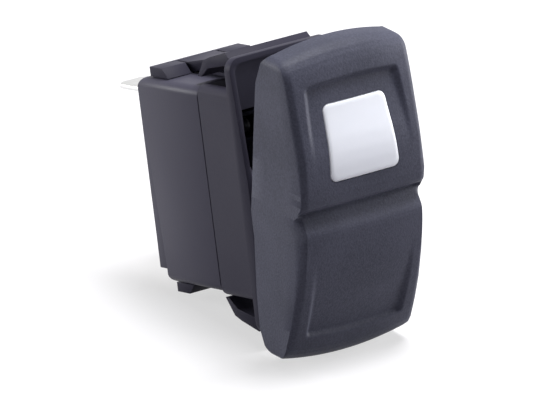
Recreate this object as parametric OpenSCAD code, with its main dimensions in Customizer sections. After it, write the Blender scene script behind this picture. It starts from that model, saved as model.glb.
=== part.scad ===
// Snap-in panel rocker switch, single pole, lighted.
// +X is right as seen from the front, +Y runs back through the panel and +Z is up.
// The origin is the centre of the panel cut-out, in the plane of the flange's rear face.

/* [Base housing] */
// Width across the side walls of the base
base_w = 20.8; // [20:0.1:21.4]
// Length of the base between its two end faces
base_l = 35.7; // [35:0.1:37]
// Depth of the base from the seam to its back face
base_d = 17.7; // [17:0.1:22]
// Thickness of the side walls
side_wall = 1.6; // [1.4:0.1:1.8]
// Thickness of the end walls
end_wall = 1.8; // [1.4:0.1:2.2]
// Thickness of the back wall that holds the terminals
back_wall = 3; // [2.4:0.1:3.6]
// Thickness of the barrier between the two rows of terminals
barrier_t = 1.2; // [0.8:0.1:1.4]
// Radius along the four long edges of the case
edge_r = 1.6; // [0.8:0.1:2.4]
// Radius of the upper rear edge
back_r = 2; // [1:0.1:2.6]
// Height of the notch in the lower rear edge
notch_h = 2.4; // [1.6:0.1:3]
// Depth of the notch in the lower rear edge
notch_d = 2; // [1:0.1:2.6]

/* [Mounting bracket] */
// Depth of the bracket from the panel's front to the seam
front_d = 9.8; // [9:0.1:12]
// How far the bracket stands proud of the base all round
seam_step = 0.1; // [0:0.05:0.2]
// Thickness of the seal in the seam
seal_t = 0.4; // [0.3:0.05:0.8]
// How far the seal is set in from the faces of the case
seal_inset = 0.5; // [0.3:0.05:0.7]
// Thickness of the screen over the lamp board
screen_t = 1.2; // [1:0.1:1.4]
// Thickness of the bracket's end walls
bracket_end_wall = 1.6; // [1.2:0.1:2]
// Depth of the pockets that the wings fold into
pocket_d = 1.95; // [1.6:0.05:2.2]
// Width of the flange
flange_w = 21.6; // [21.4:0.1:22.4]
// Length of the flange
flange_l = 47.6; // [46:0.1:48.6]
// Thickness of the flange's floor
flange_t = 0.8; // [0.6:0.1:1]
// Thickness of the rim round the flange
rim_t = 1; // [0.8:0.1:1.1]
// Height of the rim at its two ends, from the panel
rim_end_h = 1.5; // [1.2:0.1:1.8]
// Height of the rim beside the pivot, from the panel
rim_mid_h = 2.9; // [2.4:0.1:3.2]
// Corner radius of the flange
flange_r = 2.2; // [1.2:0.1:3]

/* [Snap wings] */
// Width of the cross bar at the root of each wing
bar_w = 18.4; // [16:0.1:19]
// Thickness of the cross bar
bar_t = 1.65; // [1.3:0.05:2]
// Length of the cross bar along the case
bar_l = 3.6; // [3:0.1:4.4]
// Distance from the back of the case to the cross bar
bar_setback = 2.6; // [2:0.1:3.4]
// Gap between each wing and the end face under it
wing_gap = 0.15; // [0.1:0.05:0.3]
// Width of the strap that joins the bar to the bracket
strap_w = 6.6; // [5:0.1:7.2]
// Thickness of the strap
strap_t = 0.6; // [0.5:0.05:0.7]
// Width of the tongue
tongue_w = 7.6; // [6:0.1:9]
// Thickness of the tongue
tongue_t = 1.1; // [0.9:0.05:1.2]
// Width of the wing's head
head_w = 17; // [14:0.1:17.4]
// Thickness of the head's plate
head_t = 1.3; // [1:0.05:1.6]
// How far the head's tip stands out past the end of the case
wing_spread = 6.3; // [5.6:0.1:6.6]
// Clear distance from the panel's front to the head's tip
tip_gap = 0.8; // [0.6:0.1:1]
// Width of the slits beside the tongue
slit_w = 0.5; // [0.4:0.05:0.8]

/* [Rocker] */
// Width of the rocker
rocker_w = 24.8; // [24:0.1:26]
// Half length of the rocker at its side walls
rocker_half = 26.8; // [26:0.1:27.6]
// How far the rocker's middle lies above its pivot
rocker_up = 2.3; // [1.6:0.1:2.8]
// How far the curved ends bulge past the side walls
end_bulge = 1.2; // [0.6:0.1:1.6]
// Height of the rocker's crest over its pivot
crest_h = 22; // [21.4:0.1:23]
// Height of the rocker's front corners over its pivot
shoulder_h = 17.5; // [17:0.1:18]
// How far the two front faces bulge between the crest and their outer ends
face_bulge = 0.9; // [0.4:0.1:1.2]
// How far the front falls from the middle line to the bevels
crown = 0.5; // [0:0.1:0.8]
// Height of the rear edge of the side walls at the middle
rear_mid_h = 6.7; // [6.4:0.1:7.2]
// Height of the rear edge of the side walls near the ends
rear_end_h = 8.5; // [8.2:0.1:9]
// Wall thickness of the rocker
rocker_wall = 1.8; // [1.4:0.1:2]
// Width of the bevel along the rocker's long front edges
bevel_w = 1; // [0.8:0.1:1.6]
// Depth of the bevel at the outer ends of the front edges
bevel_d = 1.3; // [0.8:0.1:1.8]
// Depth of the groove across the middle
groove_d = 1.8; // [1.2:0.1:2]
// How far the upper half's front edges lie below the crest
brow_drop = 1.6; // [1.2:0.1:2]
// How far the lower half's front edges lie below the crest
lap_drop = 3.2; // [2.4:0.1:3.4]
// Depth of the notch that the groove leaves in each long front edge
notch_drop = 2; // [1:0.1:2.4]
// Greatest depth of the two sunken fields in the front
field_d = 0.75; // [0.4:0.05:0.9]
// Width of the edge that slopes down into each field
field_slope = 1.2; // [0.8:0.1:1.6]
// Distance from the sunken fields to the outer ends of the rocker
field_end = 4.4; // [3.6:0.1:5.4]
// Distance from the sunken fields to the rocker's sides
field_side = 3.2; // [2.6:0.1:3.8]
// Angle that the rocker stands at on each side of the middle
tilt = 11; // [9:0.5:11.5]

/* [Lens] */
// Width of the lens at its upper edge
lens_top_w = 12.3; // [10:0.1:13]
// Width of the lens at its lower edge
lens_low_w = 13.9; // [11:0.1:14.2]
// Height of the lens
lens_h = 12.9; // [11:0.1:13.4]
// Height of the lens's middle above the rocker's own middle
lens_up = 12.8; // [12:0.1:13.4]
// Corner radius of the lens
lens_r = 1.2; // [0.6:0.1:2]
// Width of the lens's hidden rim
lens_rim = 0.9; // [0.6:0.1:1.2]
// Thickness of the lens's rim
lens_rim_t = 0.7; // [0.5:0.1:0.9]
// Depth of the seat that the lens's rim lies against
lens_seat = 1; // [0.8:0.1:1.2]
// Thickness of the gasket behind the lens
gasket_t = 0.5; // [0.4:0.05:0.6]
// Thickness of the light guide's plate
guide_t = 1.2; // [1:0.1:1.4]

/* [Pivot and yoke] */
// Distance of the pivot behind the panel's front
pivot_back = 1; // [0.6:0.1:1.4]
// Radius of the trunnions
trunnion_r = 2; // [1.6:0.05:2.2]
// Radial clearance of every running fit
run_gap = 0.05; // [0.03:0.01:0.08]
// Depth of the blind sockets in the side walls
socket_d = 1; // [0.7:0.05:1.1]
// Side clearance between the yoke and the case
yoke_gap = 0.3; // [0.2:0.05:0.5]
// Thickness of the yoke's cheeks
cheek_t = 1.5; // [1.2:0.1:1.7]
// Half length of the yoke's front plate
yoke_half = 8.6; // [8:0.1:9]
// Height of the yoke's front plate over the pivot
yoke_h = 14; // [13:0.1:15]
// Thickness of the yoke's front plate
yoke_plate_t = 2; // [1.6:0.1:2.4]
// Radius of the posts that seat the cap on the yoke
post_r = 1.2; // [1:0.1:1.4]

/* [Contact mechanism] */
// Sideways distance of the two rows of terminals from the middle
row_x = 4.7; // [4.5:0.05:4.85]
// Distance from the pivot to the plunger's tip
plunger_reach = 12; // [11.6:0.1:12.6]
// Radius of the plunger
plunger_r = 1.6; // [1.4:0.05:1.8]
// Radius of the plunger's nose
nose_r = 1.2; // [1:0.05:1.3]
// Wall thickness of the plunger's barrel
barrel_wall = 0.7; // [0.6:0.05:0.8]
// Clearance between the nose and the contact blade at mid travel
nose_gap = 0.05; // [0.03:0.01:0.1]
// Diameter of the spring's wire
wire_d = 0.35; // [0.25:0.05:0.4]
// Width of the contact blade
rocking_w = 5; // [4:0.1:5.4]
// Thickness of the contact blade
rocking_t = 0.9; // [0.8:0.05:1.2]
// Half length of the contact blade
rocking_half = 7.8; // [7.6:0.1:8.2]
// Depth of the vee in the blade that sits on the knife edge
vee_d = 0.35; // [0.3:0.05:0.4]
// Angle that the contact blade stands at on each side of the middle
rocking_tilt = 5.5; // [4.5:0.5:6]
// Radius of the contact rivets
rivet_r = 1.5; // [1.2:0.1:1.6]
// Thickness of each rivet's head
rivet_t = 0.5; // [0.4:0.05:0.7]
// Distance of the contact rivets from the knife edge
rivet_z = 6.1; // [5.9:0.1:6.2]
// Gap left between closed contacts
contact_gap = 0.03; // [0.02:0.01:0.06]

/* [Terminals] */
// Width of the terminal blades
blade_w = 6.35; // [6.2:0.05:6.4]
// Thickness of the terminal blades
blade_t = 0.8; // [0.7:0.05:0.9]
// How far the blades stand out of the back
blade_out = 10.5; // [8:0.1:12]
// Distance between neighbouring rows of terminals
pitch = 7.35; // [7.3:0.01:7.45]
// Radius of the latching hole in each blade
blade_hole_r = 0.8; // [0.6:0.05:1]
// Clearance of each blade in its slot
slot_gap = 0.05; // [0.03:0.01:0.1]

/* [Lamp] */
// Thickness of the lamp board
board_t = 0.8; // [0.6:0.1:1]
// Depth of the lamp board behind the panel's front
board_back = 11.6; // [11.3:0.1:12]
// Radius of the lamp
lamp_r = 1.5; // [1:0.1:1.6]
// Height of the lamp
lamp_h = 5.4; // [4.4:0.1:5.6]
// Height of the lamp above the middle of the case
lamp_up = 10; // [9:0.1:10.6]
// Sideways distance of the lamp from the middle
lamp_x = 3.3; // [3:0.1:3.6]
// Radius of the resistor
resistor_r = 1; // [0.8:0.1:1.2]
// Length of the resistor
resistor_l = 5.5; // [4:0.1:6.4]

/* [Hidden] */
$fn = 48;
EPS = 0.01;                                   // keeps cuts clear of the faces they open
FAR = 60;                                     // longer than anything in the part

base_half_l = base_l / 2;
base_half_w = base_w / 2;
front_half_l = base_half_l + 0.35 + seam_step;
front_half_w = base_half_w + seam_step;
inner_half_w = base_half_w - side_wall;
inner_half_l = base_half_l - end_wall;
back_y = front_d + base_d;
inner_back_y = back_y - back_wall;
blade_tip_y = back_y + blade_out;
bracket_back_y = front_d - seal_t;
pocket_floor = front_half_l - pocket_d;
window_half_l = pocket_floor - bracket_end_wall;
rim_out = flange_w / 2;

yoke_half_w = inner_half_w - yoke_gap;
barrel_r = plunger_r + run_gap + barrel_wall;
// The contact blade's knife edge lies just past the reach of the plunger's nose.
knife_y = pivot_back + plunger_reach + nose_gap + rocking_t - vee_d;
// Faces of the load contact and of the off-side stop, from the blade's resting angles.
closed_y = knife_y + rivet_z * sin(rocking_tilt) + (vee_d + rivet_t) * cos(rocking_tilt)
    + rivet_r * sin(rocking_tilt) + contact_gap;
stop_y = knife_y + rocking_half * sin(rocking_tilt) + vee_d * cos(rocking_tilt) + contact_gap;
shelf_y = closed_y + rivet_t;
STEEP = 45;                                   // half angle of the knife edge
OPEN = 60;                                    // half angle of the vee that sits on it
lamp_row = 2 * pitch;
board_inset = 1.2;                            // from the left wall to the lamp board

// Hooks that hold the bracket in the base, four of them near the case's corners.
hook_t = 0.9;
hook_w = 3;
hook_l = 2.4;
barb_l = 1;
barb_h = 0.5;
hook_z = inner_half_l - 5.6;

// ---- outlines and small helpers ------------------------------------------------------

// Points from a to b along a shallow arc that bulges by h to the left of the way there.
function bow(a, b, h, n = 8) = [
    for (i = [0:n])
        let (t = i / n, d = b - a, side = [-d[1], d[0]] / norm(d))
        a + d * t + side * h * 4 * t * (1 - t)
];

// Points round a corner of radius r about c, from angle a0 to a1.
function corner(c, r, a0, a1, n = 6) = [
    for (i = [0:n]) let (a = a0 + (a1 - a0) * i / n) c + r * [cos(a), sin(a)]
];

// Extrudes an outline drawn in X and Z from y0 back to y1.
module along_y(y0, y1) {
    translate([0, y1, 0]) rotate([90, 0, 0]) linear_extrude(y1 - y0) children();
}

// Extrudes an outline drawn in Y and Z from x0 right to x1.
module along_x(x0, x1) {
    translate([x0, 0, 0]) rotate([90, 0, 90]) linear_extrude(x1 - x0) children();
}

module round_rect(w, h, r) {
    square([w - 2 * r, h], center = true);
    square([w, h - 2 * r], center = true);
    for (x = [-1, 1], y = [-1, 1]) translate([x * (w / 2 - r), y * (h / 2 - r)]) circle(r);
}

module round_bar(r, y0, y1) {
    translate([0, y0, 0]) rotate([-90, 0, 0]) cylinder(r = r, h = y1 - y0);
}

module both_ends() {
    children();
    mirror([0, 0, 1]) children();
}

module both_sides() {
    children();
    mirror([1, 0, 0]) children();
}

// Stands a piece of the rocker at its rest angle. Inside, y = 0 is the pivot's own plane.
module on_pivot() {
    translate([0, pivot_back, 0]) rotate([tilt, 0, 0]) children();
}

// ---- base housing --------------------------------------------------------------------

// Side outline of the base, in Y and Z: rounded upper rear edge, notched lower rear edge.
module base_side() {
    low = -base_half_l;
    r = 1.2;
    polygon(concat(
        [[front_d, low], [back_y - notch_d - r, low]],
        corner([back_y - notch_d - r, low + r], r, -90, 0),
        [[back_y - notch_d, low + notch_h], [back_y, low + notch_h]],
        corner([back_y - back_r, base_half_l - back_r], back_r, 0, 90),
        [[front_d, base_half_l]]
    ));
}

module terminal_slot(x, z) {
    translate([x, 0, z]) along_y(inner_back_y - FAR, back_y + EPS)
        square([blade_w + 2 * slot_gap, blade_t + 2 * slot_gap], center = true);
}

// Every blade's place, as [x, z]: the lamp's feed alone on the left, the others on the right.
LAMP_BLADES = [[-row_x, lamp_row], [row_x, -lamp_row]];
POLE_BLADES = [[row_x, 0], [row_x, -pitch]];

module base_housing() {
    ledge_y = board_back + board_t;
    color([0.17, 0.17, 0.19]) difference() {
        union() {
            difference() {
                intersection() {
                    along_x(-base_half_w, base_half_w) base_side();
                    along_y(front_d, back_y) round_rect(base_w, base_l, edge_r);
                }
                along_y(front_d - EPS, inner_back_y)
                    square([2 * inner_half_w, 2 * inner_half_l], center = true);
            }
            // barrier between the lamp's row and the switch's row
            translate([0, ledge_y, -inner_half_l - EPS]) translate([-barrier_t / 2, 0, 0])
                cube([barrier_t, inner_back_y - ledge_y + EPS, 2 * inner_half_l + 2 * EPS]);
            // ledge that the lamp board lies on along the left wall
            translate([-inner_half_w - EPS, ledge_y, -inner_half_l - EPS])
                cube([board_inset + 0.6, inner_back_y - ledge_y + EPS, 2 * inner_half_l + 2 * EPS]);
            // stop under the blade's upper arm
            translate([row_x - rocking_w / 2, stop_y, rocking_half - 2.2])
                cube([rocking_w, inner_back_y - stop_y + EPS, 1.8]);
        }
        for (p = concat(LAMP_BLADES, POLE_BLADES)) terminal_slot(p[0], p[1]);
        // catches for the bracket's four hooks
        both_sides() both_ends() {
            translate([inner_half_w - hook_t - 0.25, front_d - EPS, hook_z - hook_w / 2 - 0.15])
                cube([hook_t + 0.25, hook_l + 0.2, hook_w + 0.3]);
            translate([inner_half_w - EPS, front_d + hook_l - barb_l - 0.1, hook_z - hook_w / 2 - 0.15])
                cube([barb_h + 0.1, barb_l + 0.3, hook_w + 0.3]);
        }
    }
}

// ---- mounting bracket ----------------------------------------------------------------

// Front rim of the flange, in Y and Z: highest beside the pivot.
module rim_side() {
    half = flange_l / 2;
    flat = 2.4;
    polygon([
        [0, -half], [-rim_end_h, -half], [-rim_mid_h, -flat],
        [-rim_mid_h, flat], [-rim_end_h, half], [0, half],
    ]);
}

module flange() {
    difference() {
        intersection() {
            along_x(-rim_out, rim_out) rim_side();
            along_y(-rim_mid_h - EPS, 0) round_rect(flange_w, flange_l, flange_r);
        }
        along_y(-rim_mid_h - 1, -flange_t)
            round_rect(flange_w - 2 * rim_t, flange_l - 2 * rim_t, flange_r - rim_t / 2);
    }
}

// Side outline of the tongue, in Y and Z, from the bar forward to the head.
module tongue_side() {
    foot = base_half_l + wing_gap;
    bar_y = back_y - bar_setback;
    tip = base_half_l + wing_spread;
    polygon([
        [bar_y, foot], [bar_y, foot + bar_t], [bar_y - bar_l, foot + bar_t],
        [14, foot + bar_t + 1.3], [9.6, tip - 2], [7.6, tip - 1.3],
        [2.7, tip], [tip_gap, tip - 1.6], [tip_gap, tip - 1.6 - head_t],
        [2.7, tip - 0.9 - head_t], [8.4, tip - 2 - tongue_t],
        [13.6, foot + bar_t + 1.3 - tongue_t], [bar_y - bar_l - 1.6, foot],
    ]);
}

// Side outline of the head's two flanks, whose rear edge turns down towards the case.
module head_side() {
    foot = base_half_l + wing_gap + 1.2;
    tip = base_half_l + wing_spread;
    polygon([
        [11.6, foot], [9.4, tip - 2], [7.6, tip - 1.3], [2.7, tip],
        [tip_gap, tip - 1.6], [tip_gap, tip - 1.6 - head_t],
        [2.7, tip - 0.9 - head_t], [8.4, tip - 2 - head_t], [10.6, foot],
    ]);
}

module wing() {
    foot = base_half_l + wing_gap;
    bar_y = back_y - bar_setback;
    half_t = tongue_w / 2;
    along_x(-half_t, half_t) tongue_side();
    both_sides() along_x(half_t + slit_w, head_w / 2) head_side();
    // the flanks join the tongue over the head's front
    intersection() {
        along_x(-head_w / 2, head_w / 2) head_side();
        translate([-FAR / 2, 0, 0]) cube([FAR, 6.6, FAR]);
    }
    // cross bar, with its sloped front
    difference() {
        along_x(-bar_w / 2, bar_w / 2) polygon([
            [bar_y, foot], [bar_y, foot + bar_t], [bar_y - bar_l, foot + bar_t],
            [bar_y - bar_l - 1.6, foot],
        ]);
        both_sides() translate([half_t, bar_y - bar_l - 2, foot - EPS])
            cube([slit_w, bar_l + 1, bar_t + 1]);
    }
    // strap back to the bracket
    translate([-strap_w / 2, bracket_back_y - 1.2, foot])
        cube([strap_w, bar_y - bar_l - bracket_back_y + 1.3, strap_t]);
}

// Screen across the left half of the window, with a square well that the lamp stands in.
module lamp_screen() {
    well = 2 * lamp_r + 0.8;
    difference() {
        union() {
            translate([-inner_half_w - EPS, bracket_back_y - screen_t, -window_half_l - EPS])
                cube([inner_half_w + 1.6, screen_t, 2 * window_half_l + 2 * EPS]);
            translate([-lamp_x, 0, lamp_up]) along_y(board_back - lamp_h - 0.4, bracket_back_y)
                square(well + 1.4, center = true);
        }
        translate([-lamp_x, 0, lamp_up]) along_y(0, bracket_back_y + EPS)
            square(well, center = true);
    }
}

module mounting_bracket() {
    color([0.14, 0.14, 0.16]) {
        difference() {
            union() {
                flange();
                along_y(-EPS, bracket_back_y)
                    round_rect(2 * front_half_w, 2 * front_half_l, edge_r);
                // raised rim walls beside the pivot
                both_sides() along_x(inner_half_w, front_half_w) polygon([
                    [0, -7], [-rim_mid_h, -2.4], [-rim_mid_h, 2.4], [0, 7],
                ]);
            }
            // window through to the mechanism
            along_y(-rim_mid_h - 1, bracket_back_y + EPS)
                square([2 * inner_half_w, 2 * window_half_l], center = true);
            // pockets that the wings fold into
            both_ends() translate([-head_w / 2 - 0.3, 0, pocket_floor])
                cube([head_w + 0.6, bracket_back_y - 1.2, FAR]);
            // blind sockets for the trunnions
            both_sides() translate([inner_half_w - EPS, pivot_back, 0]) rotate([0, 90, 0])
                cylinder(r = trunnion_r + run_gap, h = socket_d + yoke_gap + EPS);
        }
        both_ends() wing();
        lamp_screen();
        // hooks that hold the bracket in the base
        both_sides() both_ends() translate([inner_half_w - hook_t - 0.1, 0, hook_z - hook_w / 2]) {
            translate([0, bracket_back_y - 3, 0]) cube([hook_t + 0.1 + EPS, 3, hook_w]);
            translate([0, bracket_back_y - EPS, 0]) cube([hook_t, hook_l + seal_t, hook_w]);
            translate([hook_t - EPS, front_d + hook_l - barb_l, 0]) cube([barb_h, barb_l, hook_w]);
        }
    }
}

module base_seal() {
    hole_w = 2 * inner_half_w + 0.1;
    color([0.07, 0.07, 0.08]) along_y(bracket_back_y, front_d) difference() {
        round_rect(base_w - 2 * seal_inset, base_l - 2 * seal_inset, edge_r - seal_inset / 2);
        square([hole_w, 2 * inner_half_l + 0.1], center = true);
    }
}

// ---- rocker --------------------------------------------------------------------------

// Lines along the rocker, as [t, height] from its lower to its upper end. t runs up from the
// rocker's middle, and is rocker_half at the ends of the side walls.
// The front line along the middle, with the groove and its overhang just above t = 0.
FRONT =
    let (h = rocker_half, c = crest_h, s = shoulder_h)
    concat(
        [[-h - 1, s - 5], [-h, s - 3.4], [-h + 0.5, s - 2.1], [-h + 1.5, s - 0.8]],
        bow([-h + 2.7, s], [-3, c], face_bulge),
        [[-1.5, c - 0.5], [0.5, c - groove_d], [1.1, c - groove_d], [2, c - 0.6]],
        bow([3.2, c], [h - 2.7, s], face_bulge),
        [[h - 1.5, s - 0.8], [h - 0.5, s - 2.1], [h, s - 3.4], [h + 1, s - 5]]
    );

// The front edge of the side walls, with the notch just below the groove.
EDGE =
    let (h = rocker_half, c = crest_h, s = shoulder_h - bevel_d, low = crest_h - lap_drop)
    concat(
        [[-h - 1, s - 4.2], [-h, s - 2.6], [-h + 1, s - 0.9]],
        bow([-h + 2.7, s + 0.1], [-5.5, low], face_bulge - 0.15),
        [[-4.1, low - 0.4], [-2.7, low - 1.3], [-1.7, low - notch_drop], [-0.9, low - 1.6]],
        [[0.5, c - brow_drop - 1.4], [2, c - brow_drop - 0.4], [4, c - brow_drop]],
        [[h - 2.7, s], [h - 1, s - 1], [h, s - 2.6], [h + 1, s - 4.2]]
    );

// The rear edge.
REAR =
    let (h = rocker_half)
    [
        [-h - 1, shoulder_h - 5.8], [-h + 1.6, rear_end_h + 1.5], [-h + 4.4, rear_end_h],
        [0, rear_mid_h],
        [h - 4.4, rear_end_h], [h - 1.6, rear_end_h + 1.5], [h + 1, shoulder_h - 5.8],
    ];

// Rows of the front face, from its upper to its lower end.
FIELD_T = rocker_half - field_end;
UPPER_ROWS = [
    rocker_half + 1, rocker_half, rocker_half - 0.5, rocker_half - 1.5, rocker_half - 2.7,
    FIELD_T + field_slope / 2, FIELD_T - field_slope / 2,
];
MIDDLE_ROWS = [3.2, 2, 1.1, 0.5, -0.9, -1.7, -2.7, -4.1, -5.5];
LAST = len(UPPER_ROWS) - 1;
ROWS = concat(
    UPPER_ROWS,
    [for (k = [1:6]) UPPER_ROWS[LAST] + (MIDDLE_ROWS[0] - UPPER_ROWS[LAST]) * k / 7],
    MIDDLE_ROWS,
    [for (k = [1:5]) MIDDLE_ROWS[8] - (MIDDLE_ROWS[8] + UPPER_ROWS[LAST]) * k / 6],
    [for (k = [LAST:-1:0]) -UPPER_ROWS[k]]
);

// Half width of the sunken fields at t. They widen towards the crest.
function field_half(t) = rocker_w / 2 - field_side + 0.05 * (FIELD_T - abs(t));

// Depth of the sunken fields at t, away from their sides.
function field_depth(t) =
    let (u = (abs(t) - 6) / (FIELD_T - field_slope / 2 - 6), v = min(1, max(0, u)))
    abs(t) > FIELD_T ? 0 : field_d * v * v * (3 - 2 * v);

// True height over the rocker's middle line: the ends bulge.
function true_z(t, x) =
    let (bulge = end_bulge * (1 - pow(2 * x / rocker_w, 2)))
    rocker_up + t * (1 + bulge / rocker_half);

// One column of the rocker's skin, as [x, y, z]: down the front and back up the rear edge.
// Column i runs from 0 at the middle to 6, which lies past the side wall.
function rocker_column(side, i) =
    let (inner = rocker_w / 2 - bevel_w, past = rocker_w / 2 + 0.6)
    concat(
        [
            for (t = ROWS)
                let (
                    f = field_half(t),
                    x = [0, f / 2, f - field_slope / 2, f + field_slope / 2, inner, inner + 0.4 * bevel_w, past][i],
                    front = lookup(t, FRONT) - crown * pow(min(1, x / inner), 2.4),
                    edge = lookup(t, EDGE),
                    share = i < 5 ? 0 : i < 6 ? 0.3 : 0.3 + 0.7 * (past - inner - 0.4 * bevel_w) / (0.6 * bevel_w)
                )
                [side * x, -front - (edge - front) * share + (i < 3 ? field_depth(t) : 0), true_z(t, x)]
        ],
        [for (p = REAR) let (x = past * i / 6) [side * x, -p[1], true_z(p[0], x)]]
    );

// Skins a row of like columns of points into one closed body.
module skin(columns) {
    n = len(columns[0]);
    last = len(columns) - 1;
    sides = [
        for (i = [0:last - 1], j = [0:n - 1])
            let (a = i * n + j, b = i * n + (j + 1) % n)
            each [[a, b + n, b], [a, a + n, b + n]]
    ];
    caps = [[for (j = [0:n - 1]) j], [for (j = [n - 1:-1:0]) last * n + j]];
    polyhedron([for (c = columns) each c], concat(sides, caps), convexity = 8);
}

// The rocker as a full block, a little wider than its sides.
module rocker_block() {
    skin([for (i = [-6:6]) rocker_column(sign(i), abs(i))]);
}

// Front view of the rocker: straight sides, and ends that bulge by end_bulge.
module rocker_plan(inset = 0) {
    half = rocker_w / 2 - inset;
    z1 = rocker_up + rocker_half - inset;
    z0 = rocker_up - rocker_half + inset;
    r = 2 - inset / 2;
    polygon(concat(
        bow([half - r, z0 - 0.35 * end_bulge], [-half + r, z0 - 0.35 * end_bulge], end_bulge * 0.65),
        [[-half + 0.3 * r, z0 + 0.25 * r], [-half, z0 + r]],
        [[-half, z1 - r], [-half + 0.3 * r, z1 - 0.25 * r]],
        bow([-half + r, z1 + 0.35 * end_bulge], [half - r, z1 + 0.35 * end_bulge], end_bulge * 0.65),
        [[half - 0.3 * r, z1 - 0.25 * r], [half, z1 - r], [half, z0 + r], [half - 0.3 * r, z0 + 0.25 * r]]
    ));
}

// Space inside the rocker, open to the rear. The front wall is thickest behind the crest.
module rocker_hollow() {
    half = rocker_w / 2 - rocker_wall;
    z1 = rocker_up + rocker_half - rocker_wall;
    z0 = rocker_up - rocker_half + rocker_wall;
    s = shoulder_h - rocker_wall;
    c = crest_h - rocker_wall - groove_d + 0.4;
    rear = -rear_mid_h + rocker_wall;
    along_x(-half, half) polygon([
        [rear, z0], [-s + 3, z0], [-s, z0 + 2.6], [-c, rocker_up - 7], [-c, rocker_up + 7],
        [-s, z1 - 2.6], [-s + 3, z1], [rear, z1],
    ]);
}

// Outline of the lens in front view, grown by extra all round.
module lens_outline(extra) {
    m = rocker_up + lens_up;
    h = lens_h / 2 + extra;
    wt = lens_top_w / 2 + extra;
    wl = lens_low_w / 2 + extra;
    r = lens_r;
    polygon(concat(
        corner([wt - r, m + h - r], r, 0, 90),
        corner([-wt + r, m + h - r], r, 90, 180),
        corner([-wl + r, m - h + r], r, 180, 270),
        corner([wl - r, m - h + r], r, 270, 360)
    ));
}

// Sloped slab that follows the front face behind the lens, between two depths below it.
module lens_slab(near, far) {
    z_top = rocker_up + lens_up + lens_h / 2 + 2;
    z_low = rocker_up + lens_up - lens_h / 2 - 2;
    h_top = face_h(z_top);
    h_low = face_h(z_low);
    along_x(-rocker_w, rocker_w) polygon([
        [-h_top + near, z_top], [-h_low + near, z_low], [-h_low + far, z_low], [-h_top + far, z_top],
    ]);
}

// Height of the straight line behind the upper front face, at height z.
function face_h(z) =
    let (z0 = rocker_up + 3.6, z1 = rocker_up + rocker_half - 2.7)
    crest_h + (shoulder_h - crest_h) * (z - z0) / (z1 - z0);

RIM_FRONT = lens_seat + 0.02;
RIM_REAR = RIM_FRONT + lens_rim_t;
POST_X = 6;
POST_Z = 6;

module rocker_shell() {
    color([0.2, 0.21, 0.23]) on_pivot() {
        difference() {
            intersection() {
                rocker_block();
                along_y(-FAR, FAR) rocker_plan();
            }
            rocker_hollow();
            along_y(-FAR, FAR) lens_outline(0);
            // seat for the lens's rim, and the gasket and guide behind it
            intersection() {
                lens_slab(lens_seat, FAR / 4);
                along_y(-FAR, -yoke_h) lens_outline(lens_rim);
            }
        }
        // posts that seat the cap on the yoke
        for (x = [-POST_X, POST_X], z = [-POST_Z, POST_Z])
            translate([x, 0, z]) round_bar(post_r, -crest_h + rocker_wall + groove_d - 1.2, -yoke_h);
    }
}

module indicator_lens() {
    color([0.93, 0.94, 0.93]) on_pivot() {
        intersection() {
            rocker_block();
            along_y(-FAR, FAR) lens_outline(-0.05);
            lens_slab(-4, RIM_FRONT + lens_rim_t / 2);
        }
        intersection() {
            lens_slab(RIM_FRONT, RIM_REAR);
            along_y(-FAR, 0) lens_outline(lens_rim - 0.05);
        }
    }
}

module lens_gasket() {
    color([0.1, 0.1, 0.1]) on_pivot() intersection() {
        lens_slab(RIM_REAR, RIM_REAR + gasket_t);
        along_y(-FAR, 0) difference() {
            lens_outline(lens_rim - 0.05);
            lens_outline(-0.6);
        }
    }
}

module light_guide() {
    color([0.85, 0.9, 0.92]) on_pivot() {
        intersection() {
            lens_slab(RIM_REAR, RIM_REAR + guide_t);
            along_y(-FAR, 0) lens_outline(-0.7);
        }
        hull() {
            intersection() {
                lens_slab(RIM_REAR + guide_t - 0.05, RIM_REAR + guide_t);
                along_y(-FAR, 0) lens_outline(-2);
            }
            translate([-lamp_x - 2.2, -3, lamp_up - 2.6]) cube([4.4, 0.5, 4.4]);
        }
    }
}

// ---- yoke, plunger and spring --------------------------------------------------------

// Side outline of one cheek, in Y and Z.
module cheek_side() {
    root_r = trunnion_r + 1.3;
    circle(root_r);
    polygon([
        [-yoke_h, -yoke_half], [-yoke_h, yoke_half], [-yoke_h + yoke_plate_t + 1, yoke_half],
        [-root_r * 0.3, root_r * 0.95], [-root_r * 0.3, -root_r * 0.95],
        [-yoke_h + yoke_plate_t + 1, -yoke_half],
    ]);
}

module rocker_yoke() {
    bore_r = plunger_r + run_gap;
    color([0.62, 0.63, 0.6]) on_pivot() difference() {
        union() {
            both_sides() along_x(yoke_half_w - cheek_t, yoke_half_w) cheek_side();
            translate([-yoke_half_w, -yoke_h, -yoke_half])
                cube([2 * yoke_half_w, yoke_plate_t, 2 * yoke_half]);
            // cross web that carries the barrel
            translate([-yoke_half_w, -2, -barrel_r]) cube([2 * yoke_half_w, 3.6, 2 * barrel_r]);
            both_sides() rotate([0, 90, 0])
                cylinder(r = trunnion_r, h = inner_half_w + socket_d - 0.1);
            translate([row_x, 0, 0]) round_bar(barrel_r, -5, plunger_reach - nose_r - 1.6);
        }
        translate([row_x, 0, 0]) round_bar(bore_r, -4, plunger_reach);
    }
}

SPRING_SEAT = 4.6;                            // where the plunger's rear end meets the spring

module plunger() {
    color([0.85, 0.84, 0.78]) on_pivot() translate([row_x, 0, 0]) {
        round_bar(plunger_r, SPRING_SEAT, plunger_reach - nose_r - 0.6);
        round_bar(nose_r, plunger_reach - nose_r - 1, plunger_reach - nose_r);
        translate([0, plunger_reach - nose_r, 0]) sphere(nose_r);
    }
}

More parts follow.
